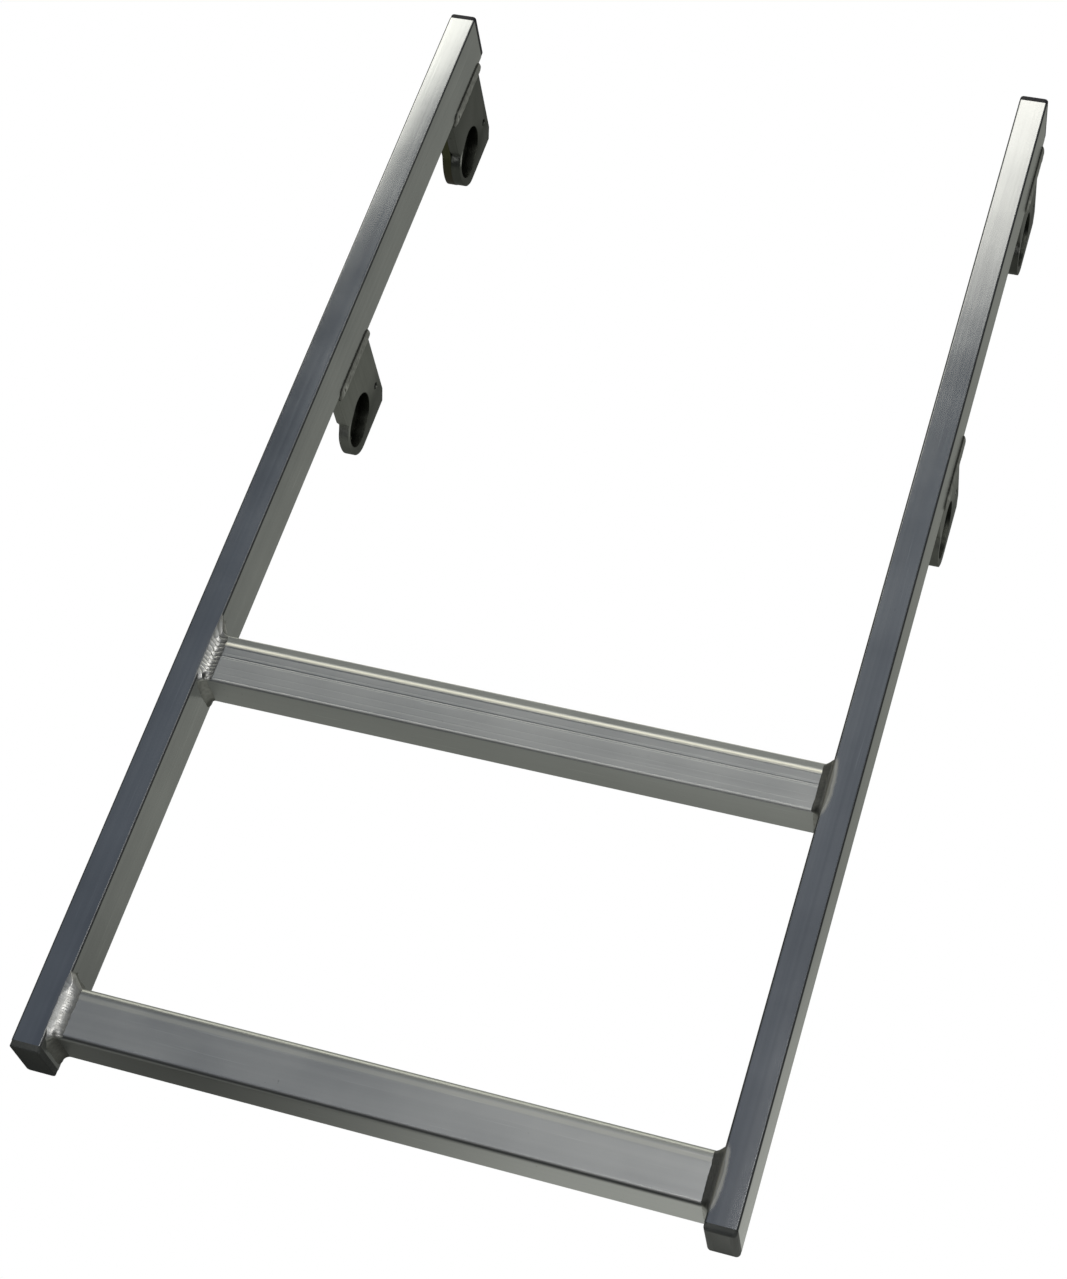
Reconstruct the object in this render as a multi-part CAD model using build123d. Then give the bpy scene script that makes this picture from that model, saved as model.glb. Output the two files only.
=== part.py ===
from build123d import *
import os

os.makedirs("parts", exist_ok=True)

# Frame: X across the ladder, Y along the rails towards the top, Z out of the treads.
# Origin: middle of the footprint, level with the lowest edge of the hook plates.

# Overall sizes
ladder_width = 577.0
ladder_length = 1094.0

# Side rails: 1 in x 2 in rectangular tube
rail_width = 25.4
rail_depth = 50.8
rail_wall = 3.2
rail_corner = 2.0
rail_bore_corner = 0.8

# Tube plugs in the rail ends
cap_head = 5.5
cap_round = 1.5
plug_length = 22.0
plug_clearance = 0.3
plug_wall = 2.4

# Rungs
rung_inset = 6.35
rung_wall = 3.2
rung_pitch = 326.1
middle_rung_width = 44.45
middle_rung_height = 38.1
middle_rung_corner = 2.0
bottom_rung_side = 44.45
bottom_rung_corner = 4.5
bottom_rung_setback = 17.5

# Tread pattern of the middle rung, measured forward from its rear edge
tread_step_at = 10.4
tread_step_drop = 0.7
tread_groove_at = 19.5
tread_groove_width = 1.8
tread_groove_depth = 0.8
tread_rib_pitch = 6.3
tread_rib_first = 29.5
tread_rib_count = 3
tread_rib_width = 1.6
tread_rib_height = 0.25

# Hook plates and the backing plates beside them
hook_thickness = 9.525
hook_drop = 103.2
hook_reach = 84.0
hook_neck_reach = 78.0
hook_neck_drop = 0.43 * hook_drop
hook_notch_reach = 75.0
hook_notch_drop = 0.5 * hook_drop
hook_corner_run = 6.0
hook_corner_rise = 11.0
hook_from_top = 12.0
hook_pitch = 333.0
slot_width = 0.38 * hook_drop
slot_length = 0.5 * hook_drop
slot_tilt = 22.0
slot_reach = 0.64 * hook_reach
slot_drop = 0.68 * hook_drop
pin_hole_diameter = 7.0
pin_hole_reach = 10.5
pin_hole_drop = 0.72 * hook_drop
backing_drop = 0.98 * hook_drop
upper_backing_reach = 82.0
lower_backing_reach = 64.0
lower_backing_shoulder = 0.65 * hook_drop
lower_backing_setback = 3.0

# Weld beads
rung_weld_leg = 8.0
rung_weld_margin = 1.0
bead_setback = 1.0
bead_height = 12.5
bead_climb = 5.0
bead_proud = 2.6

# Derived positions
rail_x = ladder_width / 2 - rail_width / 2
rail_inner_x = ladder_width / 2 - rail_width
rail_length = ladder_length - 2 * cap_head
under_rail_z = hook_drop
rail_z = hook_drop + rail_depth / 2
rail_top_z = hook_drop + rail_depth
rung_top_z = rail_top_z - rung_inset
rung_span = 2 * rail_inner_x
bottom_rung_y = -ladder_length / 2 + bottom_rung_setback + bottom_rung_side / 2
bottom_rung_z = rung_top_z - bottom_rung_side / 2
middle_rung_y = bottom_rung_y - bottom_rung_side / 2 + rung_pitch + middle_rung_width / 2
middle_rung_z = rung_top_z - middle_rung_height / 2
hook_edge_y = {"upper": ladder_length / 2 - hook_from_top}
hook_edge_y["lower"] = hook_edge_y["upper"] - hook_pitch
bead_length = hook_neck_reach - 2 * bead_setback


def tube_section(width, height, corner, wall, bore_corner):
    """Rounded rectangle with a rounded rectangular bore."""
    outer = RectangleRounded(width, height, corner)
    bore = RectangleRounded(width - 2 * wall, height - 2 * wall, bore_corner)
    return outer - bore


def make_rail(x):
    """Straight tube between the two plug heads."""
    section = tube_section(rail_width, rail_depth, rail_corner, rail_wall, rail_bore_corner)
    plane = Plane(origin=(x, rail_length / 2, rail_z), x_dir=(1, 0, 0), z_dir=(0, -1, 0))
    return extrude(plane * section, amount=rail_length)


def make_cap(x, end):
    """Plug head over the tube end, with a hollow plug that reaches into the bore."""
    head_plane = Plane(origin=(x, end * rail_length / 2, rail_z), x_dir=(end, 0, 0), z_dir=(0, end, 0))
    head = extrude(head_plane * RectangleRounded(rail_width, rail_depth, rail_corner), amount=cap_head)
    outer_face = head.faces().sort_by(Axis.Y)[-1 if end > 0 else 0]
    head = fillet(outer_face.edges(), cap_round)
    plug_width = rail_width - 2 * rail_wall - 2 * plug_clearance
    plug_depth = rail_depth - 2 * rail_wall - 2 * plug_clearance
    section = tube_section(plug_width, plug_depth, rail_bore_corner + 0.4, plug_wall, 0.5)
    plug = extrude(head_plane * section, amount=-plug_length)
    return head + plug


def tread_cutters(width, height):
    """Shapes that lower the tread behind its smooth rear strip and leave ribs on it."""
    rear = width / 2
    front = -width / 2
    top = height / 2
    strip_start = rear - tread_step_at
    lowered = Pos((front + strip_start) / 2, top) * Rectangle(strip_start - front, 2 * tread_step_drop)
    for index in range(tread_rib_count):
        rib_y = rear - tread_rib_first - index * tread_rib_pitch
        lowered -= Pos(rib_y, top - tread_step_drop) * Rectangle(tread_rib_width, 2 * tread_rib_height)
    groove_z = top - tread_step_drop
    groove = Pos(rear - tread_groove_at, groove_z) * Rectangle(tread_groove_width, 2 * tread_groove_depth)
    return lowered + groove


def rung_blank(name):
    """Filled cross section of a rung, drawn with Y to the right and Z up."""
    if name == "middle":
        section = RectangleRounded(middle_rung_width, middle_rung_height, middle_rung_corner)
        return section - tread_cutters(middle_rung_width, middle_rung_height)
    return RectangleRounded(bottom_rung_side, bottom_rung_side, bottom_rung_corner)


def rung_place(name, x):
    """Plane across the ladder at x, centred on the named rung."""
    if name == "middle":
        return Plane(origin=(x, middle_rung_y, middle_rung_z), x_dir=(0, 1, 0), z_dir=(1, 0, 0))
    return Plane(origin=(x, bottom_rung_y, bottom_rung_z), x_dir=(0, 1, 0), z_dir=(1, 0, 0))


def rung_size(name):
    """Width, height and corner radius of the named rung."""
    if name == "middle":
        return middle_rung_width, middle_rung_height, middle_rung_corner
    return bottom_rung_side, bottom_rung_side, bottom_rung_corner


def make_rung(name):
    """Tube between the inner faces of the rails."""
    width, height, corner = rung_size(name)
    bore = RectangleRounded(width - 2 * rung_wall, height - 2 * rung_wall, 1.0)
    return extrude(rung_place(name, -rung_span / 2) * (rung_blank(name) - bore), amount=rung_span)


def make_rung_weld(name, side):
    """Fillet all round one rung end, kept on the flat of the rail's side."""
    width, height, corner = rung_size(name)
    leg = rung_weld_leg
    start = rung_place(name, side * rung_span / 2)
    base = RectangleRounded(width + 2 * leg, height + 2 * leg, corner + leg)
    ring = extrude(start * base, amount=-side * leg, taper=45)
    blank = extrude(rung_place(name, -rung_span / 2) * rung_blank(name), amount=rung_span)
    room = Box(rung_span, ladder_length, rail_depth - 2 * rung_weld_margin)
    return (ring - blank) & Pos(0, 0, rail_z) * room


def hook_outline():
    """Hook plate drawn with Y from its upper edge and Z from the underside of the rail."""
    low_corner = (-hook_reach + 24, -hook_drop)
    nose_end = (-hook_reach + 5, -hook_notch_drop - 6)
    nose_mid = [
        (-hook_reach + 13.5, -hook_drop + 3),
        (-hook_reach + 5, -hook_drop + 11),
        (-hook_reach + 1, -hook_drop + 20.5),
        (-hook_reach, -hook_drop + 29),
        (-hook_reach + 1.5, -hook_notch_drop - 12),
    ]
    lines = Polyline(
        nose_end,
        (-hook_notch_reach, -hook_notch_drop),
        (-hook_neck_reach, -hook_neck_drop),
        (-hook_neck_reach, 0),
        (0, 0),
        (0, -hook_drop + hook_corner_rise),
        (-hook_corner_run, -hook_drop),
        low_corner,
    )
    return make_face(lines + Spline(low_corner, *nose_mid, nose_end))


def upper_backing_outline():
    """Backing plate of the upper brackets, with a rounded front edge."""
    reach = upper_backing_reach
    drop = backing_drop
    start = (-reach + 14, -drop)
    end = (-reach + 5, -drop + 46)
    front = Spline(start, (-reach + 4, -drop + 7), (-reach, -drop + 20), (-reach + 1, -drop + 33), end)
    lines = Polyline(
        end,
        (-reach + 5, 0),
        (0, 0),
        (0, -drop + hook_corner_rise),
        (-hook_corner_run, -drop),
        start,
    )
    return make_face(lines + front)


def lower_backing_outline():
    """Backing plate of the lower brackets, with a small shoulder on its front edge."""
    reach = lower_backing_reach
    narrow = lower_backing_reach - lower_backing_setback
    outline = Polyline(
        (0, 0),
        (-reach, 0),
        (-reach, -lower_backing_shoulder),
        (-narrow, -lower_backing_shoulder),
        (-narrow, -backing_drop),
        (-hook_corner_run, -backing_drop),
        (0, -backing_drop + hook_corner_rise),
        close=True,
    )
    return make_face(outline)


def bracket_plane(x, level):
    """Plane across the ladder at x, with its origin at the bracket's upper rail corner."""
    return Plane(origin=(x, hook_edge_y[level], under_rail_z), x_dir=(0, 1, 0), z_dir=(1, 0, 0))


def make_hook_plate(x, level):
    """Slotted plate under the rail, from the rail's middle out towards +X."""
    slot = Pos(-slot_reach, -slot_drop) * Rot(0, 0, slot_tilt) * SlotOverall(slot_length, slot_width)
    hole = Pos(-pin_hole_reach, -pin_hole_drop) * Circle(pin_hole_diameter / 2)
    outline = hook_outline() - slot - hole
    return extrude(bracket_plane(x, level) * outline, amount=hook_thickness)


def make_backing(x, level):
    """Plate on the -X side of the hook plate."""
    hole = Pos(-pin_hole_reach, -pin_hole_drop) * Circle(pin_hole_diameter / 2)
    outline = upper_backing_outline() if level == "upper" else lower_backing_outline()
    return extrude(bracket_plane(x, level) * (outline - hole), amount=-hook_thickness)


def make_bracket_bead(x, level, side, length):
    """Bead from a plate's face, round the rail's lower corner, on to the rail's side."""
    inner = hook_thickness
    side_x = rail_width / 2
    edge = Polyline((inner, -bead_height), (inner, 0), (side_x, 0), (side_x, bead_climb))
    curve = Spline(
        (side_x, bead_climb),
        (side_x + bead_proud * 0.85, bead_climb * 0.1),
        (side_x + bead_proud * 0.93, -bead_height * 0.35),
        (side_x + bead_proud * 0.2, -bead_height * 0.76),
        (inner, -bead_height),
    )
    start_y = hook_edge_y[level] - bead_setback
    plane = Plane(origin=(x, start_y, under_rail_z), x_dir=(side, 0, 0), z_dir=(0, side * -1, 0))
    return extrude(plane * make_face(edge + curve), amount=side * length)


def save(name, shape):
    """Write one node."""
    export_step(shape, f"parts/{name}.step")


sides = {"left": -1, "right": 1}
for side_name, side in sides.items():
    save(f"rail_{side_name}", make_rail(side * rail_x))
    save(f"cap_{side_name}_bottom", make_cap(side * rail_x, -1))
    save(f"cap_{side_name}_top", make_cap(side * rail_x, 1))
    for rung_name in ("middle", "bottom"):
        save(f"rung_weld_{rung_name}_{side_name}", make_rung_weld(rung_name, side))
    for level in ("lower", "upper"):
        tag = f"{side_name}_{level}"
        backing_bead = bead_length if level == "upper" else lower_backing_reach - 2 * bead_setback
        save(f"hook_plate_{tag}", make_hook_plate(side * rail_x, level))
        save(f"backing_{tag}", make_backing(side * rail_x, level))
        save(f"bracket_weld_{tag}", make_bracket_bead(side * rail_x, level, 1, bead_length))
        save(f"backing_weld_{tag}", make_bracket_bead(side * rail_x, level, -1, backing_bead))

save("rung_middle", make_rung("middle"))
save("rung_bottom", make_rung("bottom"))
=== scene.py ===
import math
from functools import partial

import bmesh
import bpy
import numpy as np
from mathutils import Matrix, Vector


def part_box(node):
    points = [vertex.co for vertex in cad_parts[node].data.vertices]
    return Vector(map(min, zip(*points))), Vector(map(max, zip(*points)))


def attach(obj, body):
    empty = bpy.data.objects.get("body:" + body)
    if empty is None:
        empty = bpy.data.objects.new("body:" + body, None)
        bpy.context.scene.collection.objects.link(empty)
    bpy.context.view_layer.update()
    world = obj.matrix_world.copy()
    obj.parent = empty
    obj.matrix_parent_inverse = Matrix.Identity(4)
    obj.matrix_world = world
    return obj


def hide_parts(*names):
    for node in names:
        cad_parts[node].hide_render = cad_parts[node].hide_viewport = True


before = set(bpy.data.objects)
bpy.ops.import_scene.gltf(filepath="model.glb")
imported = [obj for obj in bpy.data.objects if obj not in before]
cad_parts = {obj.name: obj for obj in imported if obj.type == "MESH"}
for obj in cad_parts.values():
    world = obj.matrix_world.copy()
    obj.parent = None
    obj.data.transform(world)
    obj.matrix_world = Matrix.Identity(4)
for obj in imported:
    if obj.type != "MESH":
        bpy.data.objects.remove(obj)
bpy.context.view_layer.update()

MM = 0.001
SIDE_NAMES = {-1: "left", 1: "right"}


def node_box(node):
    """Lowest and highest corner of a CAD node, as plain numbers."""
    return [[float(part) for part in corner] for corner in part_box(node)]


# Sizes of the ladder in metres, from the frame
rail_low, rail_high = node_box("rail_right")
RAIL_X = (rail_low[0] + rail_high[0]) / 2
RAIL_Z = (rail_low[2] + rail_high[2]) / 2
RAIL_WIDTH = rail_high[0] - rail_low[0]
RAIL_DEPTH = rail_high[2] - rail_low[2]
RAIL_END = rail_high[1]
RAIL_TOP = rail_high[2]
UNDER_RAIL = rail_low[2]
CAP_HEAD = node_box("cap_right_top")[1][1] - RAIL_END
RUNG_END = node_box("rung_bottom")[1][0]
HOOK_THICKNESS = node_box("hook_plate_right_upper")[1][0] - RAIL_X
HOOK_TOP = {level: node_box(f"hook_plate_right_{level}")[1][1] for level in ("lower", "upper")}

# Roundings, welds and slots
RAIL_CORNER = 2.2 * MM
CAP_CORNER = 3.4 * MM
CAP_EDGE = 1.3 * MM
PLATE_EDGE = 0.5 * MM
BACKING_EDGE = 0.6 * MM
RUNG_CORNERS = {"middle": 2.0 * MM, "bottom": 4.6 * MM}
BEAD_LENGTH = 76 * MM
BEAD_HEIGHT = 12.5 * MM
BEAD_CLIMB = 5 * MM
BEAD_PROUD = 2.5 * MM
BEAD_SETBACK = 1 * MM
CRATER_AT = 0.9
WELD_SUNK = 0.8 * MM
LOWER_BACKING = 64 * MM
SLOT_TILT = math.radians(22.0)
HOOK_LENGTH = 84 * MM
SLOT_REACH = 0.64 * HOOK_LENGTH
SLOT_DROP = 0.68 * UNDER_RAIL
SLOT_WIDTH = 0.38 * UNDER_RAIL
SLOT_LENGTH = 0.5 * UNDER_RAIL


def read_rung(which):
    """A rung's centre along the rails, centre height, width, height and corner radius."""
    low, high = node_box(f"rung_{which}")
    middle = [(low[axis] + high[axis]) / 2 for axis in (1, 2)]
    return (*middle, high[1] - low[1], high[2] - low[2], RUNG_CORNERS[which])


RUNGS = {which: read_rung(which) for which in RUNG_CORNERS}

# Rear slope of each rung's top: how far it drops, and where it levels out
REAR_SLOPE = {
    "middle": (0.45 * MM, 5.6 * MM, 9.4 * MM),
    "bottom": (0.34 * MM, 5.0 * MM, 12.5 * MM),
}

# Tread of the middle rung by the distance from its rear edge: step down, groove, and faint hollows
TREAD_STEP = (9.9 * MM, 11.2 * MM)
TREAD_STEP_DROP = 0.7 * MM
TREAD_GROOVE = (19.5 * MM, 0.55 * MM)
TREAD_HOLLOWS = ((16.6, 0.05), (21.4, 0.07), (29.5, 0.035), (35.8, 0.035), (41.4, 0.1))

# Marks on the metal, weld lap and painted light and shade: where each starts and ends, or how wide and
# strong it is
LAP_REACH = 25 * MM
LAP_WIDTH = 2.6 * MM
LAP_WAVE = 2.2 * MM
LAP_ON_LEFT = 0.35
RIM_WIDTH = 3.6 * MM
EDGE_SHADE_LINE = (1.1 * MM, 1.9 * MM)
REAR_SHADE = (5.5 * MM, 7.2 * MM)
RIDGE_START = (6.6 * MM, 8.2 * MM)
RIDGE_END = {"middle": 10.0 * MM, "bottom": 10.4 * MM}
RIDGE_FADE = 1.11 * MM
RIDGE_STRENGTH = {"middle": 0.8, "bottom": 0.3}
BETWEEN_RUNGS = -0.35
HIGHLIGHT_REACH = 71.2 * MM
HIGHLIGHT_DROP = 61 * MM

# Painted highlight by the square of the distance from its middle: where it fades, and how far its edge waves
HIGHLIGHT_FADE = (0.00003, 0.00008)
HIGHLIGHT_WAVE = 0.00012

# Camera: where the ladder is seen from, in metres and degrees
CAMERA_PLACE = (0.52211, -1.06660, 1.92548)
CAMERA_TURN = (30.9809, 6.8634, 17.3346)
CAMERA_LENS = 71.63


# ---------------------------------------------------------------- surfaces


def grid_faces(rows, columns, wrap_rows=False, wrap_columns=False):
    """Quads of a grid of points, optionally joined at its far edges."""
    last_row = rows if wrap_rows else rows - 1
    last_column = columns if wrap_columns else columns - 1
    i, j = np.meshgrid(np.arange(last_row), np.arange(last_column), indexing="ij")
    i2 = (i + 1) % rows
    j2 = (j + 1) % columns
    corners = (i * columns + j, i2 * columns + j, i2 * columns + j2, i * columns + j2)
    return np.stack(corners, -1).reshape(-1, 4)


def place_piece(name, mesh, node):
    """Puts a finished mesh in the scene as a piece that rides with the ladder and stands for a CAD node."""
    piece = bpy.data.objects.new(name, mesh)
    bpy.context.scene.collection.objects.link(piece)
    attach(piece, "root")
    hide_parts(node)


def add_piece(name, points, faces, material, node, ends=(), crease=38.0, tone=None):
    """One finished piece: points and faces at their true place, outward normals, smooth shading. The ends
    are closing faces. The tone, when given, is one number per point that the weld material reads as
    painted light and shade."""
    mesh = bpy.data.meshes.new(name)
    polygons = faces.tolist() + [list(face) for face in ends]
    mesh.from_pydata(points.reshape(-1, 3).tolist(), [], polygons)
    if tone is not None:
        layer = mesh.attributes.new("tone", "FLOAT", "POINT")
        layer.data.foreach_set("value", np.clip(tone, 0.0, 1.0).astype(np.float32).ravel())
    work = bmesh.new()
    work.from_mesh(mesh)
    bmesh.ops.remove_doubles(work, verts=work.verts, dist=1e-7)
    bmesh.ops.recalc_face_normals(work, faces=work.faces)
    work.to_mesh(mesh)
    work.free()
    mesh.shade_smooth()
    mesh.set_sharp_from_angle(angle=math.radians(crease))
    mesh.materials.append(material)
    place_piece(name, mesh, node)


def rounded_outline(width, height, radius, steps=8):
    """Rounded rectangle: four quarter circles of the given radius round four corner centres, joined by
    straight sides."""
    turn = np.linspace(0.0, np.pi / 2, steps + 1)
    quarter = np.arange(4)[:, None] * np.pi / 2 + turn[None, :]
    centre_x = np.array([1, -1, -1, 1])[:, None] * (width / 2 - radius)
    centre_y = np.array([1, 1, -1, -1])[:, None] * (height / 2 - radius)
    x = centre_x + radius * np.cos(quarter)
    y = centre_y + radius * np.sin(quarter)
    return np.stack([x.ravel(), y.ravel()], -1)


def extruded(outline, axis, start, end, centre):
    """Closed prism: the outline in the plane across the axis, repeated at the start and the end."""
    count = len(outline)
    points = np.zeros((2, count, 3))
    across = [k for k in range(3) if k != axis]
    points[:, :, across[0]] = outline[:, 0] + centre[0]
    points[:, :, across[1]] = outline[:, 1] + centre[1]
    points[0, :, axis] = start
    points[1, :, axis] = end
    ends = [range(count), range(count, 2 * count)]
    return points, grid_faces(2, count, wrap_columns=True), ends


def smooth_step(low, high, value):
    """0 below low, 1 above high, and a smooth cubic between."""
    t = np.clip((value - low) / (high - low), 0.0, 1.0)
    return t * t * (3 - 2 * t)


def bump_at(centre, width, value):
    """Bell curve of height 1 round the centre."""
    return np.exp(-(((value - centre) / width) ** 2))


def rear_slope(which, back):
    """How far a rung's top lies down: the full drop at its rear edge, and none where it has levelled out."""
    drop, start, end = REAR_SLOPE[which]
    return drop * (1 - smooth_step(start, end, back))


def bottom_outline(width, height, radius):
    """Section of the bottom rung: a rounded square whose top sinks towards its rear edge in one smooth
    slope, which carries a painted highlight band."""
    outline = rounded_outline(width, height, radius, 12)
    flat = np.linspace(width / 2 - radius, -width / 2 + radius, 90)[1:-1]
    top = np.stack([flat, np.full(len(flat), height / 2)], -1)
    outline = np.concatenate([outline[:13], top, outline[13:]])
    back = width / 2 - outline[:, 0]
    outline[:, 1] -= rear_slope("bottom", back) * (outline[:, 1] > 0)
    return outline


def tread_outline(width, height, radius):
    """Section of the grooved rung. The upper edge is the lower of the rounded corner and the tread line:
    level less a step down in front of the rear strip, one groove, and faint hollows in front of it."""
    turn = np.linspace(0.0, np.pi / 2, 9)
    rear = width / 2 - radius + radius * np.cos(turn)
    flat = np.linspace(width / 2 - radius, -width / 2 + radius, 420)[1:-1]
    upper_y = np.concatenate([rear, flat, -rear[::-1]])
    inner = np.clip(np.abs(upper_y) - (width / 2 - radius), 0, radius)
    corner_z = height / 2 - radius + np.sqrt(np.maximum(radius**2 - inner**2, 0))
    back = width / 2 - upper_y
    level = height / 2 - rear_slope("middle", back) - TREAD_STEP_DROP * smooth_step(*TREAD_STEP, back)
    groove_at, groove_depth = TREAD_GROOVE
    level = level - groove_depth * bump_at(groove_at, 0.45 * MM, back)
    for place, depth in TREAD_HOLLOWS:
        level = level - depth * MM * bump_at(place * MM, 0.4 * MM, back)
    upper_z = np.minimum(corner_z, level)
    lower = rounded_outline(width, height, radius)
    lower = lower[lower[:, 1] < 0]
    lower = lower[np.argsort(np.arctan2(lower[:, 1], lower[:, 0]))]
    upper = np.stack([upper_y, upper_z], -1)
    return np.concatenate([upper, lower])


def make_rail(side, material):
    """Side rail: a rounded rectangle drawn along the ladder."""
    outline = rounded_outline(RAIL_WIDTH, RAIL_DEPTH, RAIL_CORNER)
    points, faces, ends = extruded(outline, 1, -RAIL_END, RAIL_END, (side * RAIL_X, RAIL_Z))
    name = SIDE_NAMES[side]
    add_piece(f"side_rail_{name}", points, faces, material, f"rail_{name}", ends)


def make_rung(which, section, material):
    """Rung: its section drawn across the ladder from rail to rail."""
    y, z, width, height, radius = RUNGS[which]
    points, faces, ends = extruded(section(width, height, radius), 0, -RUNG_END, RUNG_END, (y, z))
    add_piece(f"{which}_rung", points, faces, material, f"rung_{which}", ends, crease=50.0)


def make_cap(side, end, material, edge):
    """Plug head: rounded rectangles stacked along the rail. Each ring is inset by how far a quarter circle
    has turned in at its height, and the last ones close over a face that is dished by a fraction."""
    turn = np.linspace(0.0, np.pi / 2, 8)
    dish = CAP_HEAD - np.array([0.05, 0.35]) * MM
    height = np.concatenate([[0.0], CAP_HEAD - edge + edge * np.sin(turn), dish])
    inset = np.concatenate([[0.0], edge * (1 - np.cos(turn)), edge + np.array([0.9, 2.1]) * MM])
    radius = np.maximum(CAP_CORNER - inset, 0.5 * MM)
    sizes = zip(RAIL_WIDTH - 2 * inset, RAIL_DEPTH - 2 * inset, radius)
    rings = np.array([rounded_outline(*size) for size in sizes])
    levels, count = rings.shape[:2]
    points = np.zeros((levels, count, 3))
    points[:, :, 0] = rings[:, :, 0] + side * RAIL_X
    points[:, :, 1] = end * (RAIL_END + height[:, None])
    points[:, :, 2] = rings[:, :, 1] + RAIL_Z
    faces = grid_faces(levels, count, wrap_columns=True)
    closing = [range(count), range((levels - 1) * count, levels * count)]
    name = f"{SIDE_NAMES[side]}_{'bottom' if end < 0 else 'top'}"
    add_piece(f"plug_{name}", points, faces, material, f"cap_{name}", closing)


def wander(count, seed, waves=9):
    """Smooth repeatable noise along a length: a sum of sines with seeded sizes and phases, about -1 to 1."""
    rng = np.random.default_rng(seed)
    along = np.linspace(0, 2 * np.pi, count, endpoint=False)
    order = rng.integers(1, waves + 1, 7)
    size = rng.uniform(0.3, 1.0, 7) / 7
    phase = rng.uniform(0, 2 * np.pi, 7)
    return (size[:, None] * np.sin(order[:, None] * along[None, :] + phase[:, None])).sum(0) * 1.7


def weld_scales(phase, rise, power):
    """Overlapping scales, one for each whole number of the phase: a straight rise over the given share,
    then a fall of the given power."""
    saw = phase - np.floor(phase)
    fall = 1 - np.clip((saw - rise) / (1 - rise), 0, 1) ** power
    return np.where(saw < rise, saw / rise, fall)


def ring_round(outline, count):
    """Points evenly spaced round a closed outline by length, with the outward direction at each: the way
    from the second point before to the second point after, turned a quarter turn."""
    closed = np.vstack([outline, outline[:1]])
    step = np.hypot(*np.diff(closed, axis=0).T)
    run = np.concatenate([[0], np.cumsum(step)])
    s = np.linspace(0, run[-1], count, endpoint=False)
    ring = np.stack([np.interp(s, run, closed[:, 0]), np.interp(s, run, closed[:, 1])], -1)
    ahead = np.roll(ring, -2, axis=0) - np.roll(ring, 2, axis=0)
    ahead /= np.linalg.norm(ahead, axis=1, keepdims=True)
    return s, ring, np.stack([ahead[:, 1], -ahead[:, 0]], -1)


def near_corner(ring, corner, wide, high):
    """Bell of height 1 round a corner of a section, by the distance across and up from it."""
    share = (ring - np.array(corner)) / np.array([wide, high])
    return np.exp(-(share**2).sum(1))[:, None]


def close_tone(tone):
    """Tone of a weld with three dark columns more, for the hidden faces that close its back."""
    return np.concatenate([tone, np.zeros((len(tone), 3))], 1)


def round_rung(style, label, crown):
    """A style's value round the rung: its own above the rung, and its side value beside and below it."""
    return style[label] * crown + style[f"side_{label}"] * (1 - crown)


def weld_legs(which, style, out, crown, ragged, fine):
    """Reach of a rung weld along the rail and along the rung: the style's legs, made ragged. Above the rung
    the weld stops at the rail's top, and below it no further than the rail's underside."""
    _, z, _, height, _ = RUNGS[which]
    room_up = RAIL_TOP - (z + height / 2)
    room_down = z - height / 2 - UNDER_RAIL
    up = np.clip(out[:, 1], 0, 1)
    down = np.clip(-out[:, 1], 0, 1)
    on_rail = round_rung(style, "leg", crown) * (1 + 0.1 * ragged + 0.03 * fine)
    on_rail = on_rail * (1 - up) + (room_up - 0.04 * MM) * up
    on_rail = on_rail * (1 - down) + np.minimum(on_rail, room_down + 0.4 * MM) * down
    on_rung = round_rung(style, "rung_leg", crown)
    on_rung = on_rung * (1 + 0.08 * np.roll(ragged, len(ragged) // 3) + 0.04 * fine)
    return on_rail, on_rung


def rung_weld_tone(style, crown, t2, scale, low_corner, near_front, tail):
    """Tone of a rung weld, its painted light and shade: the style's own, with painted shade at both toes,
    between the scales, at the low front corner and in the pit, and darker along the tail."""
    toe = 0.85 - 0.4 * crown
    tone = round_rung(style, "tone", crown)
    tone = tone * (toe + (1 - toe) * np.sin(np.pi * (t2 * 0.96 + 0.02)))
    tone = tone * (1 - style["scale_tone"] * crown * (1 - scale))
    tone = tone * (1 - 0.92 * low_corner)
    return tone * (1 - 0.8 * near_front * bump_at(0.5, 0.25, t2)) * (1 - 0.7 * tail * t2)


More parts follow.
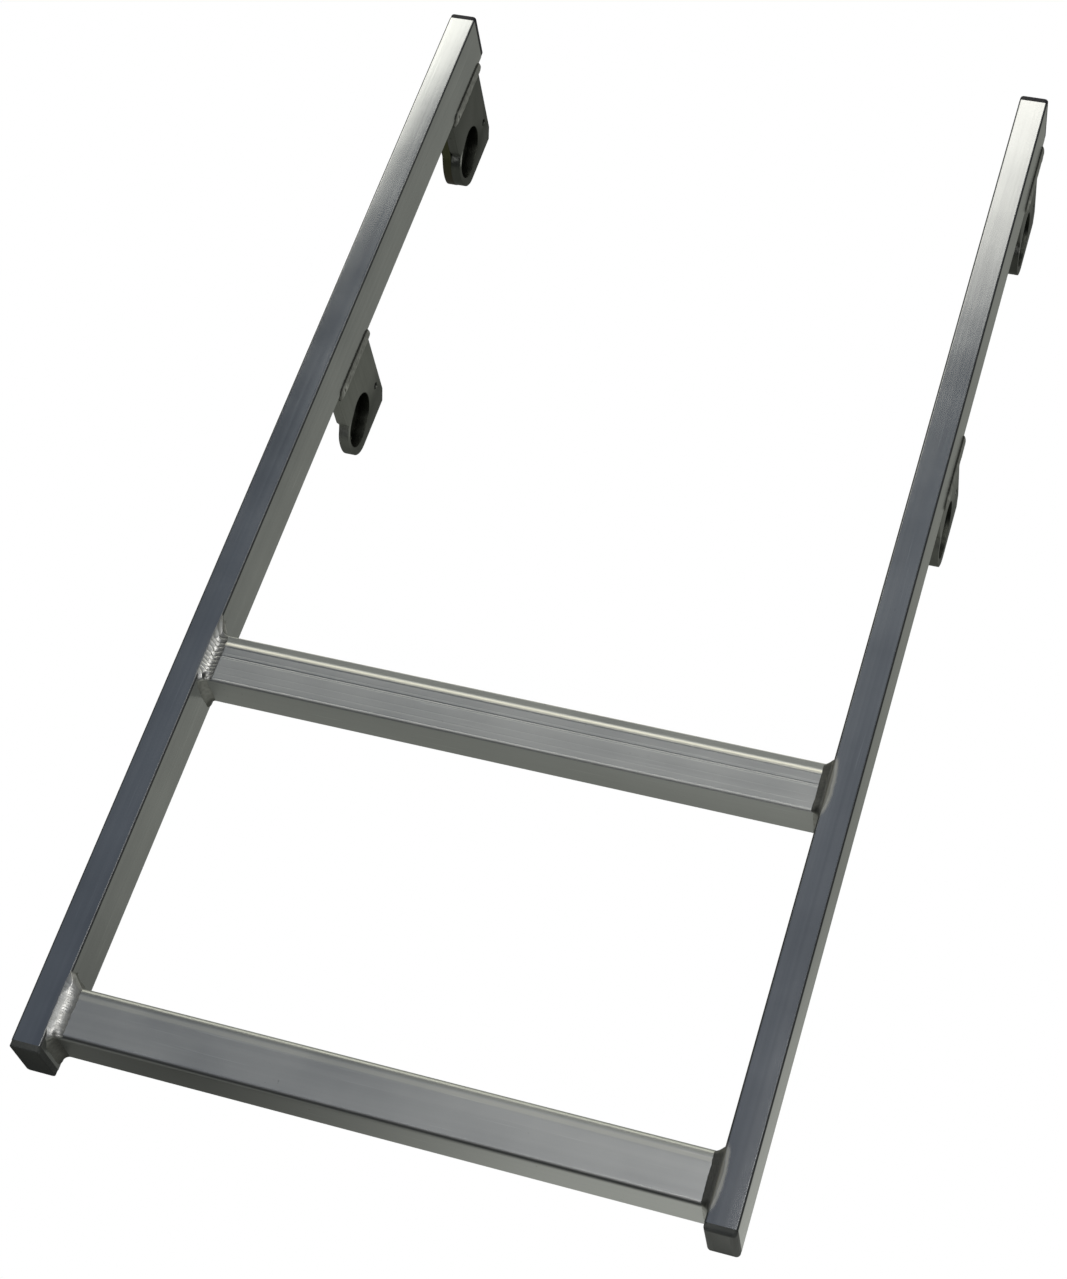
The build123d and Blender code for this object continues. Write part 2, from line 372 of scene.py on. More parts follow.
def make_rung_weld(which, side, style, material, seed):
    """Fillet weld round a rung end. One parameter runs round the rung's outline and the other from the toe
    on the rung to the toe on the rail. The section is a chord pushed out by a sine, full or hollow by the
    style, above the rung and beside it. Overlapping scales, each a sharp rise and a long fall, ride on the
    part above the rung, which ends in a pit in front and a thin tail behind."""
    y, z, width, height, radius = RUNGS[which]
    count = style["count"]
    outline = rounded_outline(width - 0.2 * MM, height - 0.2 * MM, max(radius, 3 * MM), 18)
    s, ring, out = ring_round(outline, count)
    ragged = wander(count, seed)
    fine = wander(count, seed + FINE_SEED, 40)
    crown = smooth_step(0.3, 0.85, out[:, 1])
    leg_rail, leg_rung = weld_legs(which, style, out, crown, ragged, fine)
    crown, ragged, fine = crown[:, None], ragged[:, None], fine[:, None]
    up = np.clip(out[:, 1:], 0, 1)

    t2, s2 = np.meshgrid(np.linspace(0, 1, 26), s, indexing="xy")
    belly = np.sin(np.pi * t2) ** 0.85
    swell = (round_rung(style, "swell", crown) + 0.12 * MM * ragged) * belly
    bow = style["bow"] * (2 * t2 - 1) ** 2
    scale = weld_scales((s2 + 1.6 * MM * ragged) / style["pitch"] + bow + 0.16 * fine, rise=0.22, power=1.3)
    ripple = style["ripple"] * (0.08 + 0.92 * crown) * scale * belly
    near_front = bump_at(2.5 * MM - width / 2, 2.6 * MM, ring[:, :1]) * crown
    pit = style["pit"] * near_front * bump_at(0.5, 0.2, t2)
    tail = near_corner(ring, (width / 2, height / 2), 6 * MM, 5 * MM)
    push = (swell + ripple - pit) * math.sqrt(0.5)
    outward = leg_rail[:, None] * t2 + push + style["tail"] * tail * t2**2.2
    inward = leg_rung[:, None] * (1 - t2) - 1.6 * MM * up * smooth_step(0.72, 1.0, t2)
    inward = np.maximum(inward + push, -2.0 * MM)
    direction = out.copy()
    if style["tail"] > 0:
        direction[:, 0] += 0.9 * tail[:, 0]
    direction /= np.linalg.norm(direction, axis=1, keepdims=True)

    toe_in = 0.6 * MM
    sunk = np.full((count, 2), -WELD_SUNK)
    a = np.concatenate([outward, (leg_rail - toe_in)[:, None], sunk], 1)
    b = np.concatenate([inward, sunk, (leg_rung - toe_in)[:, None]], 1)
    points = np.zeros((*a.shape, 3))
    points[:, :, 0] = side * (RUNG_END - b)
    points[:, :, 1] = y + ring[:, :1] + direction[:, :1] * a
    points[:, :, 2] = z + ring[:, 1:] + direction[:, 1:] * a
    points[:, :, 2] = np.clip(points[:, :, 2], UNDER_RAIL + 0.15 * MM, RAIL_TOP - 0.02 * MM)
    low_corner = near_corner(ring, (-width / 2, -height / 2), 4.5 * MM, 7 * MM)
    # Painted light and shade of the weld, one number per point, read by its material
    tone = close_tone(rung_weld_tone(style, crown, t2, scale, low_corner, near_front, tail))
    faces = grid_faces(*a.shape, wrap_rows=True, wrap_columns=True)
    name = f"{which}_{SIDE_NAMES[side]}"
    add_piece(f"weld_{name}", points, faces, material, f"rung_weld_{name}", crease=60.0, tone=tone)


def bracket_bead_tone(t2, s2, scale, taper):
    """Tone of a bracket bead, its painted light and shade: painted highlights across its middle, on its
    scales and on its crater's rim, and painted shade at both toes and on its crater's floor."""
    lit = smooth_step(0.02, 0.14, t2) * (1 - smooth_step(0.88, 0.98, t2))
    # Painted highlight on the crater's rim and painted shade on its floor
    crater_rim = bump_at(CRATER_AT, 0.055, s2) * bump_at(0.55, 0.3, t2)
    crater_floor = bump_at(CRATER_AT, 0.022, s2) * bump_at(0.6, 0.15, t2)
    tone = (0.4 + 0.28 * scale) * lit * (0.6 + 0.4 * taper)
    return tone + 0.7 * crater_rim - 1.3 * crater_floor


def make_bracket_bead(side, level, face, length, material, seed):
    """Weld bead along a bracket. One parameter runs along the rail and the other from the plate's face
    to the rail's side. The section is a chord pushed out by a sine; it thins to nothing at both ends like
    a flattened circle, with scales along it and a small crater near the lower end."""
    count = 260
    t2, s2 = np.meshgrid(np.linspace(0, 1, 26), np.linspace(0, 1, count), indexing="xy")
    ragged = wander(count, seed)[:, None]
    fine = wander(count, seed + FINE_SEED, 34)[:, None]
    taper = np.sqrt(np.maximum(1 - np.abs(2 * s2 - 1) ** 16, 0))
    plate = HOOK_THICKNESS
    edge = RAIL_WIDTH / 2
    middle = 0.42
    t3 = middle + (t2 - middle) * (0.4 + 0.6 * taper)
    across = plate + (edge - plate) * smooth_step(0.0, 0.62, t3)
    height = -BEAD_HEIGHT * (1 + 0.05 * ragged) * (1 - t3) + BEAD_CLIMB * (1 + 0.12 * fine) * t3
    belly = np.sin(np.pi * t2) ** 0.6
    swell = BEAD_PROUD * (0.93 + 0.07 * ragged) * belly * (0.25 + 0.75 * taper)
    phase = s2 * length / (3.1 * MM) + 0.9 * (2 * t2 - 1) ** 2 + 0.35 * fine
    scale = weld_scales(phase, rise=0.2, power=1)
    ripple = 0.16 * MM * scale * belly * taper
    pit = 1.2 * MM * bump_at(CRATER_AT, 0.03, s2) * bump_at(0.6, 0.2, t2)
    x = np.minimum(across + swell + ripple - pit, edge + BEAD_PROUD)

    deep = plate - 1.0 * MM
    hidden_x = np.broadcast_to([edge - 1.5 * MM, deep, deep], (count, 3))
    under_rail = np.full((count, 1), WELD_SUNK)
    hidden_z = np.concatenate([height[:, -1:] - WELD_SUNK, under_rail, height[:, :1] + WELD_SUNK], 1)
    x = np.concatenate([x, hidden_x], 1)
    height = np.concatenate([height, hidden_z], 1)
    points = np.zeros((*x.shape, 3))
    points[:, :, 0] = side * RAIL_X + face * x
    points[:, :, 1] = HOOK_TOP[level] - BEAD_SETBACK - s2[:, :1] * length
    points[:, :, 2] = UNDER_RAIL + height
    tone = close_tone(bracket_bead_tone(t2, s2, scale, taper))
    wide = x.shape[1]
    ends = [range(wide), range((count - 1) * wide, count * wide)]
    faces = grid_faces(count, wide, wrap_columns=True)
    name = f"{SIDE_NAMES[side]}_{level}"
    kind = "bracket" if face > 0 else "backing"
    node = f"{kind}_weld_{name}"
    add_piece(f"{kind}_bead_{name}", points, faces, material, node, ends, crease=60.0, tone=tone)


def eased_copy(node_name, piece_name, material, edge):
    """Copy of a CAD solid with its seams merged and its sharp edges eased by a narrow two-step bevel."""
    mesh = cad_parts[node_name].data.copy()
    work = bmesh.new()
    work.from_mesh(mesh)
    bmesh.ops.remove_doubles(work, verts=work.verts, dist=2e-6)
    bmesh.ops.dissolve_limit(work, angle_limit=0.01, verts=work.verts, edges=work.edges)
    sharp = [e for e in work.edges if len(e.link_faces) == 2 and e.calc_face_angle() > 0.6]
    bevel = {"offset": edge, "segments": 2, "profile": 0.6, "affect": "EDGES", "clamp_overlap": True}
    bmesh.ops.bevel(work, geom=sharp, **bevel)
    bmesh.ops.triangulate(work, faces=[f for f in work.faces if len(f.verts) > 4])
    bmesh.ops.recalc_face_normals(work, faces=work.faces)
    work.to_mesh(mesh)
    work.free()
    mesh.shade_smooth()
    mesh.set_sharp_from_angle(angle=math.radians(32))
    mesh.materials.clear()
    mesh.materials.append(material)
    place_piece(piece_name, mesh, node_name)


# ---------------------------------------------------------------- materials


def new_group(name, inputs, outputs):
    """Empty shader node group with named inputs and number outputs."""
    group = bpy.data.node_groups.new(name, "ShaderNodeTree")
    for label, kind, value in inputs:
        socket = group.interface.new_socket(label, in_out="INPUT", socket_type=kind)
        socket.default_value = value
    for label in outputs:
        group.interface.new_socket(label, in_out="OUTPUT", socket_type="NodeSocketFloat")
    entry = group.nodes.new("NodeGroupInput")
    leave = group.nodes.new("NodeGroupOutput")
    return group, entry, leave


def wire(tree, source, target):
    """Joins two sockets."""
    tree.links.new(source, target)


def math_node(tree, operation, first, second=None, third=None, clamp=False):
    """Math node whose inputs are sockets or numbers; gives its output."""
    node = tree.nodes.new("ShaderNodeMath")
    node.operation = operation
    node.use_clamp = clamp
    for index, value in enumerate((first, second, third)):
        if value is None:
            continue
        if isinstance(value, (int, float)):
            node.inputs[index].default_value = value
        else:
            wire(tree, value, node.inputs[index])
    return node.outputs[0]


def noise_node(tree, vector, scale, detail=3.0, rough=0.5, distortion=0.0):
    """Noise texture value over a vector socket."""
    node = tree.nodes.new("ShaderNodeTexNoise")
    wire(tree, vector, node.inputs["Vector"])
    settings = (("Scale", scale), ("Detail", detail), ("Roughness", rough), ("Distortion", distortion))
    for label, number in settings:
        node.inputs[label].default_value = number
    return node.outputs["Fac"]


def split_vector(tree, vector):
    """The three parts of a vector socket."""
    node = tree.nodes.new("ShaderNodeSeparateXYZ")
    wire(tree, vector, node.inputs[0])
    return node.outputs


def stretch_node(tree, vector, scale, offset=(0, 0, 0)):
    """Vector scaled by three numbers and moved."""
    node = tree.nodes.new("ShaderNodeMapping")
    wire(tree, vector, node.inputs["Vector"])
    node.inputs["Scale"].default_value = scale
    node.inputs["Location"].default_value = offset
    return node.outputs["Vector"]


def range_node(tree, value, low, high, to_low=0.0, to_high=1.0):
    """Value moved from one range to another, clamped."""
    node = tree.nodes.new("ShaderNodeMapRange")
    node.clamp = True
    wire(tree, value, node.inputs["Value"])
    for label, number in (("From Min", low), ("From Max", high), ("To Min", to_low), ("To Max", to_high)):
        node.inputs[label].default_value = number
    return node.outputs["Result"]


def mix_colour(tree, factor, first, second):
    """Colour between two colours or sockets."""
    node = tree.nodes.new("ShaderNodeMix")
    node.data_type = "RGBA"
    wire(tree, factor, node.inputs["Factor"])
    for socket, value in ((node.inputs[6], first), (node.inputs[7], second)):
        if isinstance(value, tuple):
            socket.default_value = (*value, 1.0)
        else:
            wire(tree, value, socket)
    return node.outputs[2]


VECTOR_INPUT = ("Vector", "NodeSocketVector", (0.0, 0.0, 0.0))


def build_grain_group():
    """Drawn or brushed grain: noise stretched along the piece, at two widths, plus a few long scratches.
    The vector's first axis runs along the grain. Broad is the wider noise alone."""
    inputs = [VECTOR_INPUT, ("Scratches", "NodeSocketFloat", 0.3)]
    group, entry, leave = new_group("grain", inputs, ("Grain", "Broad", "Scratch"))
    calc = partial(math_node, group)
    vector = entry.outputs["Vector"]
    wide = noise_node(group, stretch_node(group, vector, (1.6, 120.0, 120.0)), 1.0, 2.0)
    narrow = noise_node(group, stretch_node(group, vector, (3.0, 400.0, 400.0)), 1.0, 2.0)
    both = calc("ADD", calc("MULTIPLY", wide, 0.6), calc("MULTIPLY", narrow, 0.4))
    long_lines = stretch_node(group, vector, (11.0, 560.0, 560.0), (3.1, 0.7, 1.9))
    thin = range_node(group, noise_node(group, long_lines, 1.0, 1.0, 0.4, 0.1), 0.70, 0.76)
    wire(group, range_node(group, both, 0.3, 0.7), leave.inputs["Grain"])
    wire(group, range_node(group, wide, 0.3, 0.7), leave.inputs["Broad"])
    wire(group, calc("MULTIPLY", thin, entry.outputs["Scratches"]), leave.inputs["Scratch"])
    return group


def build_soil_group():
    """Handling marks: soft cloudy patches, and small dark specks where a second noise lets them show."""
    inputs = [VECTOR_INPUT, ("Specks", "NodeSocketFloat", 0.5)]
    group, entry, leave = new_group("soil", inputs, ("Clouds", "Speck"))
    calc = partial(math_node, group)
    vector = entry.outputs["Vector"]
    clouds = noise_node(group, vector, 11.0, 4.0, 0.55)
    dots = range_node(group, noise_node(group, vector, 260.0, 2.0), 0.70, 0.78)
    gate = range_node(group, noise_node(group, vector, 21.0, 2.0), 0.52, 0.66)
    speck = calc("MULTIPLY", calc("MULTIPLY", dots, gate), entry.outputs["Specks"])
    wire(group, range_node(group, clouds, 0.3, 0.7), leave.inputs["Clouds"])
    wire(group, speck, leave.inputs["Speck"])
    return group


def build_lap_group():
    """Weld metal lapping over a rail's top beside each rung. The distance in from the rail's inner edge is
    compared with a wavy limit that falls off as a square from the rung's middle: inside it is weld metal,
    and just past it a pale rim. Both are weaker on the left rail."""
    group, entry, leave = new_group("weld_lap", [VECTOR_INPUT], ("Lap", "Rim"))
    calc = partial(math_node, group)
    x, y, z = split_vector(group, entry.outputs["Vector"])
    inset = calc("SUBTRACT", calc("ABSOLUTE", x), RUNG_END)
    away = [calc("ABSOLUTE", calc("SUBTRACT", y, rung[0])) for rung in RUNGS.values()]
    nearest = calc("MINIMUM", *away)
    beside = range_node(group, nearest, 21 * MM, 28 * MM, 1.0, 0.0)
    wave = noise_node(group, entry.outputs["Vector"], 95.0, 2.0)
    strength = range_node(group, x, -10 * MM, 10 * MM, LAP_ON_LEFT, 1.0)
    share = calc("DIVIDE", nearest, LAP_REACH)
    hump = calc("SUBTRACT", 1.0, calc("MULTIPLY", share, share))
    limit = calc("ADD", calc("MULTIPLY", hump, LAP_WIDTH), calc("MULTIPLY", wave, LAP_WAVE))
    past = calc("SUBTRACT", inset, calc("MULTIPLY", limit, strength))
    on_top = range_node(group, z, RAIL_TOP - 2.2 * MM, RAIL_TOP - 1.6 * MM)
    here = calc("MULTIPLY", calc("MULTIPLY", beside, strength), on_top)
    inside = range_node(group, past, -0.4 * MM, 0.4 * MM, 1.0, 0.0)
    rising = range_node(group, past, -0.2 * MM, 0.8 * MM)
    falling = range_node(group, past, 0.4 * MM, RIM_WIDTH, 1.0, 0.0)
    wire(group, calc("MULTIPLY", inside, here), leave.inputs["Lap"])
    wire(group, calc("MULTIPLY", calc("MULTIPLY", rising, falling), here), leave.inputs["Rim"])
    return group


def build_strip_group():
    """Strips along the tops of both rungs. By the wavering distance from the rear edge there is a strip of
    painted shade, then a painted highlight along the ridge. By the share of the corner's radius passed from
    the front edge there is a line of painted shade on the rounding."""
    group, entry, leave = new_group("rung_strips", [VECTOR_INPUT], ("Shade", "RidgeHighlight", "FrontShade"))
    calc = partial(math_node, group)
    _, y, z = split_vector(group, entry.outputs["Vector"])
    on_middle = calc("GREATER_THAN", y, BETWEEN_RUNGS)

    def by_rung(middle, bottom):
        return calc("MULTIPLY_ADD", on_middle, middle - bottom, bottom)

    rears = [rung[0] + rung[2] / 2 for rung in RUNGS.values()]
    from_rear = calc("SUBTRACT", by_rung(*rears), y)
    wave = noise_node(group, stretch_node(group, entry.outputs["Vector"], (6.0, 40.0, 40.0)), 1.0, 2.0)
    back = calc("MULTIPLY_ADD", wave, 0.6 * MM, from_rear)
    on_top = range_node(group, z, RAIL_TOP - 8.5 * MM, RAIL_TOP - 7.5 * MM)
    shade = range_node(group, back, *REAR_SHADE, 1.0, 0.0)
    past_ridge = calc("SUBTRACT", back, by_rung(*RIDGE_END.values()))
    fall = calc("SUBTRACT", 1.0, calc("DIVIDE", past_ridge, RIDGE_FADE, clamp=True), clamp=True)
    ridge_highlight = calc("MULTIPLY", range_node(group, back, *RIDGE_START), fall)
    ridge_highlight = calc("MULTIPLY", ridge_highlight, by_rung(*RIDGE_STRENGTH.values()))
    from_front = calc("SUBTRACT", RUNGS["middle"][2], from_rear)
    share = calc("DIVIDE", from_front, by_rung(*RUNG_CORNERS.values()))
    rising = range_node(group, share, 0.15, 0.35)
    front_shade = calc("MULTIPLY", rising, range_node(group, share, 0.55, 0.85, 1.0, 0.0))
    for label, strip in (("Shade", shade), ("RidgeHighlight", ridge_highlight), ("FrontShade", front_shade)):
        wire(group, calc("MULTIPLY", strip, on_top), leave.inputs[label])
    return group


def build_bracket_group():
    """Marks placed on the brackets. Slot is 1 on the slot's wall, by the distance from the slot's middle
    line, and on the plates' inner faces, for painted shade. The second output is a painted highlight patch
    between notch and slot. Drop is the distance below the rail, and Upper is 1 on the upper brackets."""
    group, entry, leave = new_group("bracket_marks", [VECTOR_INPUT], ("Slot", "HighlightPatch", "Drop", "Upper"))
    calc = partial(math_node, group)
    x, y, z = split_vector(group, entry.outputs["Vector"])
    lower_top, upper_top = HOOK_TOP["lower"], HOOK_TOP["upper"]
    upper = calc("GREATER_THAN", y, (lower_top + upper_top) / 2)
    reach = calc("SUBTRACT", y, calc("MULTIPLY_ADD", upper, upper_top - lower_top, lower_top))
    drop = calc("SUBTRACT", UNDER_RAIL, z)

    across = calc("ADD", reach, SLOT_REACH)
    rise = calc("SUBTRACT", SLOT_DROP, drop)
    cosine, sine = math.cos(SLOT_TILT), math.sin(SLOT_TILT)
    along = calc("ADD", calc("MULTIPLY", across, cosine), calc("MULTIPLY", rise, sine))
    aside = calc("SUBTRACT", calc("MULTIPLY", rise, cosine), calc("MULTIPLY", across, sine))
    straight = (SLOT_LENGTH - SLOT_WIDTH) / 2
    over = calc("MAXIMUM", calc("SUBTRACT", calc("ABSOLUTE", along), straight), 0.0)
    away = calc("SQRT", calc("ADD", calc("MULTIPLY", over, over), calc("MULTIPLY", aside, aside)))
    wall = range_node(group, away, SLOT_WIDTH / 2 + 0.2 * MM, SLOT_WIDTH / 2 + 0.9 * MM, 1.0, 0.0)
    depth = calc("ABSOLUTE", calc("SUBTRACT", calc("ABSOLUTE", x), RAIL_X))
    inner = range_node(group, depth, 0.2 * MM, 0.6 * MM, 1.0, 0.0)

    # Painted highlight: a bright patch on the plate between notch and slot
    highlight_u = calc("ADD", reach, HIGHLIGHT_REACH)
    highlight_v = calc("SUBTRACT", drop, HIGHLIGHT_DROP)
    highlight_square = calc("ADD", calc("MULTIPLY", highlight_u, highlight_u), calc("MULTIPLY", highlight_v, highlight_v))
    wave = noise_node(group, entry.outputs["Vector"], 240.0, 3.0, 0.6)
    spread = calc("MULTIPLY_ADD", wave, -HIGHLIGHT_WAVE, calc("ADD", highlight_square, HIGHLIGHT_WAVE / 2))
    highlight_patch = range_node(group, spread, *HIGHLIGHT_FADE, 1.0, 0.0)
    highlight_patch = calc("MULTIPLY", highlight_patch, range_node(group, upper, 0.0, 1.0, 0.35, 1.0))
    wire(group, calc("MAXIMUM", wall, inner), leave.inputs["Slot"])
    wire(group, highlight_patch, leave.inputs["HighlightPatch"])
    wire(group, drop, leave.inputs["Drop"])
    wire(group, upper, leave.inputs["Upper"])
    return group


GRAIN = build_grain_group()
SOIL = build_soil_group()
LAP = build_lap_group()
STRIPS = build_strip_group()
MARKS = build_bracket_group()


def start_material(name):
    """Fresh node material: its tree, its shader and its object coordinates."""
    material = bpy.data.materials.new(name)
    material.use_nodes = True
    tree = material.node_tree
    shader = tree.nodes["Principled BSDF"]
    place = tree.nodes.new("ShaderNodeTexCoord").outputs["Object"]
    return material, tree, shader, place


def place_group(tree, group, **values):
    """A group node with its inputs set to sockets or numbers."""
    node = tree.nodes.new("ShaderNodeGroup")
    node.node_tree = group
    for label, value in values.items():
        if isinstance(value, (int, float)):
            node.inputs[label].default_value = value
        else:
            wire(tree, value, node.inputs[label])
    return node.outputs


def finish_metal(tree, shader, colour, roughness, height, distance):
    """Wires a metal's colour, roughness and height to its shader."""
    bump = tree.nodes.new("ShaderNodeBump")
    bump.inputs["Distance"].default_value = distance
    wire(tree, height, bump.inputs["Height"])
    wire(tree, bump.outputs["Normal"], shader.inputs["Normal"])
    wire(tree, colour, shader.inputs["Base Color"])
    wire(tree, roughness, shader.inputs["Roughness"])
    shader.inputs["Metallic"].default_value = 1.0


def swap_axes(tree, vector, order):
    """Vector with its axes taken in another order."""
    parts = split_vector(tree, vector)
    whole = tree.nodes.new("ShaderNodeCombineXYZ")
    for index, letter in enumerate(order):
        wire(tree, parts[letter], whole.inputs[index])
    return whole.outputs[0]


def mill_finish(tree, place, order, light, dark, rough, scratches, specks):
    """Colour, roughness and height of mill-finish aluminium. The first letter of the order is the axis that
    its grain follows."""
    calc = partial(math_node, tree)
    grain = place_group(tree, GRAIN, Vector=swap_axes(tree, place, order), Scratches=scratches)
    soil = place_group(tree, SOIL, Vector=place, Specks=specks)
    tone = calc("ADD", calc("MULTIPLY", grain["Grain"], 0.45), calc("MULTIPLY", soil["Clouds"], 0.55))
    colour = mix_colour(tree, tone, dark, light)
    colour = mix_colour(tree, grain["Scratch"], colour, tuple(min(1.0, part * 1.25) for part in light))
    colour = mix_colour(tree, soil["Speck"], colour, tuple(part * 0.3 for part in dark))
    roughness = calc("MULTIPLY_ADD", soil["Clouds"], rough[1] - rough[0], rough[0])
    roughness = calc("MULTIPLY_ADD", grain["Broad"], 0.05, roughness)
    return colour, roughness, calc("SUBTRACT", grain["Grain"], grain["Scratch"])


def make_rail_metal(name, light, dark, rough):
    """Rail: mill finish along the ladder, a painted shade line where a side and a top or bottom are both
    near, and weld metal lapping on it beside the rungs."""
    material, tree, shader, place = start_material(name)
    calc = partial(math_node, tree)
    colour, roughness, height = mill_finish(tree, place, "YXZ", light, dark, rough, 0.3, 0.4)
    x, _, z = split_vector(tree, place)
    aside = calc("ABSOLUTE", calc("SUBTRACT", calc("ABSOLUTE", x), RAIL_X))
    above = calc("ABSOLUTE", calc("SUBTRACT", z, RAIL_Z))
    from_side = calc("SUBTRACT", RAIL_WIDTH / 2, aside)
    from_top = calc("SUBTRACT", RAIL_DEPTH / 2, above)
    # Painted shade: a dark line along the rail's rounded edges
    edge = range_node(tree, calc("MAXIMUM", from_side, from_top), *EDGE_SHADE_LINE, 1.0, 0.0)
    lap = place_group(tree, LAP, Vector=place)
    colour = mix_colour(tree, edge, colour, (0.15, 0.155, 0.16))
    colour = mix_colour(tree, lap["Lap"], colour, (0.3, 0.3, 0.275))
    colour = mix_colour(tree, lap["Rim"], colour, (0.54, 0.53, 0.48))
    for mask, more in ((edge, 0.35), (lap["Rim"], 0.3), (lap["Lap"], 0.35)):
        roughness = calc("MULTIPLY_ADD", mask, more, roughness)
    finish_metal(tree, shader, colour, roughness, height, 0.004 * MM)
    return material


def make_tread_metal(name, light, dark, rough):
    """Rung: mill finish across the ladder, with its strips of painted shade and painted highlight."""
    material, tree, shader, place = start_material(name)
    calc = partial(math_node, tree)
    colour, roughness, height = mill_finish(tree, place, "XYZ", light, dark, rough, 0.4, 0.5)
    strips = place_group(tree, STRIPS, Vector=place)
    # Painted light: shade on the rear strip, a highlight along the ridge, and shade on the front rounding
    colour = mix_colour(tree, calc("MULTIPLY", strips["Shade"], 0.5), colour, (0.36, 0.37, 0.31))
    colour = mix_colour(tree, strips["RidgeHighlight"], colour, (1.0, 0.98, 0.86))
    colour = mix_colour(tree, calc("MULTIPLY", strips["FrontShade"], 0.85), colour, (0.17, 0.17, 0.16))
    finish_metal(tree, shader, colour, roughness, height, 0.014 * MM)
    return material


def make_plate_metal(name, light, dark, low, rough, highlight_patch):
    """Bracket plate: dull metal with a low colour towards its lower edge, darker on the upper brackets, with
    painted shade in the slot and a painted highlight patch."""
    material, tree, shader, place = start_material(name)
    calc = partial(math_node, tree)
    colour, roughness, height = mill_finish(tree, place, "ZXY", light, dark, rough, 0.5, 1.0)
    marks = place_group(tree, MARKS, Vector=place)
    colour = mix_colour(tree, range_node(tree, marks["Drop"], 55 * MM, 85 * MM), colour, low)
    colour = mix_colour(tree, calc("MULTIPLY", marks["Upper"], 0.6), colour, (0.06, 0.064, 0.056))
    # Painted highlight patch, with more roughness there
    highlight_mask = calc("MULTIPLY", marks["HighlightPatch"], highlight_patch)
    colour = mix_colour(tree, highlight_mask, colour, (0.9, 0.9, 0.88))
    # Painted shade in the slot and on the plates' inner faces, mottled
    mottle = noise_node(tree, place, 150.0, 4.0, 0.65)
    slot_shade = mix_colour(tree, mottle, (0.006, 0.007, 0.006), (0.1, 0.105, 0.09))
    colour = mix_colour(tree, marks["Slot"], colour, slot_shade)
    roughness = calc("MULTIPLY_ADD", highlight_mask, 0.25, roughness)
    pits = noise_node(tree, place, 420.0, 4.0, 0.6)
    finish_metal(tree, shader, colour, roughness, calc("ADD", height, pits), 0.07 * MM)
    return material


def make_weld_metal(name, light, dark, rough):
    """As-welded aluminium: its tone runs from painted shade at the toes to painted highlights on the crests,
    on pebbled skin.
    """
    material, tree, shader, place = start_material(name)
    calc = partial(math_node, tree)
    layer = tree.nodes.new("ShaderNodeAttribute")
    layer.attribute_name = "tone"
    soil = place_group(tree, SOIL, Vector=place, Specks=0.9)
    patches = range_node(tree, noise_node(tree, place, 210.0, 4.0, 0.6), 0.3, 0.68)
    patchy = calc("MULTIPLY_ADD", patches, 0.35, 0.7)
    # Painted light and shade from the tone attribute, made patchy
    shade = calc("MULTIPLY", layer.outputs["Fac"], patchy, clamp=True)
    colour = mix_colour(tree, shade, dark, light)
    colour = mix_colour(tree, soil["Speck"], colour, tuple(part * 0.4 for part in dark))
    roughness = range_node(tree, patches, 0.0, 1.0, rough[1], rough[0])
    pebbles = noise_node(tree, place, 900.0, 3.0, 0.6)
    finish_metal(tree, shader, colour, roughness, pebbles, 0.04 * MM)
    return material


def make_plastic(name, dark, light, shine):
    """Moulded plastic with faint dust and a fine grain."""
    material, tree, shader, place = start_material(name)
    calc = partial(math_node, tree)
    soil = place_group(tree, SOIL, Vector=place, Specks=0.2)
    fine = noise_node(tree, place, 700.0, 3.0, 0.6)
    dust = calc("MULTIPLY", soil["Clouds"], calc("MULTIPLY_ADD", fine, 0.6, 0.6))
    colour = mix_colour(tree, dust, dark, light)
    roughness = range_node(tree, soil["Clouds"], 0.0, 1.0, 0.4, 0.55)
    texture = noise_node(tree, place, 2600.0, 2.0)
    finish_metal(tree, shader, colour, roughness, texture, 0.04 * MM)
    shader.inputs["Metallic"].default_value = 0.0
    shader.inputs["Specular IOR Level"].default_value = shine
    return material


rail_metal = make_rail_metal("rail_aluminium", (0.66, 0.67, 0.675), (0.46, 0.47, 0.48), (0.15, 0.18))
tread_metal = make_tread_metal("tread_aluminium", (0.65, 0.66, 0.66), (0.56, 0.57, 0.57), (0.38, 0.44))
plate_metal = make_plate_metal(
    "plate_aluminium", (0.42, 0.43, 0.41), (0.22, 0.225, 0.21), (0.15, 0.155, 0.145), (0.34, 0.46), 1.0
)
# Lower backings: a near-black copy of the plate material, painting the shade they sit in
shaded_backing_metal = make_plate_metal(
    "shaded_backing_aluminium", (0.12, 0.12, 0.105), (0.06, 0.06, 0.05), (0.08, 0.075, 0.06), (0.36, 0.5), 0.0
)
plated_metal = make_plate_metal(
    "plated_steel", (0.26, 0.27, 0.11), (0.13, 0.13, 0.06), (0.13, 0.095, 0.07), (0.36, 0.5), 0.0
)
weld_metal = make_weld_metal("weld_aluminium", (0.95, 0.95, 0.93), (0.11, 0.112, 0.1), (0.4, 0.56))
plastic = make_plastic("black_plastic", (0.02, 0.02, 0.024), (0.045, 0.043, 0.055), 0.2)
worn_plastic = make_plastic("worn_black_plastic", (0.085, 0.09, 0.088), (0.15, 0.155, 0.15), 0.12)

# ---------------------------------------------------------------- pieces

# Seeds of the welds: the first weld's, and how far on the fine noise and the backing beads draw theirs
FIRST_SEED = 11
FINE_SEED = 50
BACKING_SEED = 20

